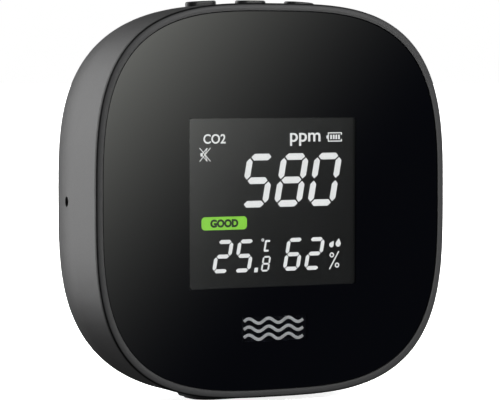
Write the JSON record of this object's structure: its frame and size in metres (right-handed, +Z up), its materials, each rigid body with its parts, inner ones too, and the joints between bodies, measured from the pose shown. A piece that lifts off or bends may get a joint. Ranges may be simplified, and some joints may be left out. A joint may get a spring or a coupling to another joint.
{
  "type": "carbon dioxide monitor",
  "caption": "Free-standing desk monitor for carbon dioxide, with a rounded-square housing, a glossy front over a lit segment display, and push keys on top.",
  "frame": {"origin": "under the middle of the housing, on the surface that it stands on", "axes": "+Z up, the display faces -Y, +X to the right as seen from the front"},
  "size_m": [0.085, 0.032, 0.0868],
  "materials": {
    "housing": "fine moulded grain, dark grey",
    "frame": "satin, dark grey",
    "key": "fine moulded grain, dark grey",
    "foot": "matt, near black",
    "lens": "glossy, lightly smoked",
    "mask": "black print",
    "adhesive": "black double-sided tape",
    "display": "dark display glass",
    "light_guide": "clear-white light guide",
    "white_plastic": "white moulded plastic",
    "contact_rubber": "striped conductive rubber",
    "board": "green solder mask",
    "steel": "plated steel",
    "contact_metal": "gold-plated pins",
    "chip": "black moulded package",
    "capacitor": "bare can",
    "sensor_white": "white sensor body",
    "filter": "white porous membrane",
    "battery_foil": "soft foil pouch",
    "foam": "black foam tape",
    "lead": "soft insulation",
    "plunger": "black switch plunger",
    "mesh": "fine black mesh"
  },
  "bodies": {
    "housing": {"rear_housing": "housing", "foot_pad": "foot", "front_frame": "frame", "front_lens": "lens", "lens_mask": "mask", "lens_adhesive": "adhesive", "lcd_panel": "display", "lcd_backlight": "light_guide", "lcd_holder": "white_plastic", "lcd_contact_strip": "contact_rubber", "main_board": "board", "main_board_screws": "steel", "microcontroller": "chip", "board_chips": "chip", "board_capacitors": "capacitor", "climate_sensor": "sensor_white", "buzzer": "chip", "usb_shell": "steel", "usb_tongue": "chip", "co2_sensor_pins": "contact_metal", "co2_sensor_board": "board", "co2_sensor_cell": "sensor_white", "co2_sensor_filter": "filter", "battery": "battery_foil", "battery_tape": "foam", "battery_leads": "lead", "battery_plug": "white_plastic", "battery_socket": "white_plastic", "dust_screen": "mesh", "housing_screws": "steel", "tact_switches": "chip"},
    "key_left": {"button_left": "key", "switch_plunger_left": "plunger"},
    "key_middle": {"button_middle": "key", "switch_plunger_middle": "plunger"},
    "key_right": {"button_right": "key", "switch_plunger_right": "plunger"}
  },
  "joints": [
    {"name": "key_left_press", "type": "slide", "parent": "housing", "child": "key_left", "axis": [0, 0, -1], "range_m": [0, 0.00035], "stiffness_N_per_m": 4000},
    {"name": "key_middle_press", "type": "slide", "parent": "housing", "child": "key_middle", "axis": [0, 0, -1], "range_m": [0, 0.00035], "stiffness_N_per_m": 4000},
    {"name": "key_right_press", "type": "slide", "parent": "housing", "child": "key_right", "axis": [0, 0, -1], "range_m": [0, 0.00035], "stiffness_N_per_m": 4000}
  ]
}
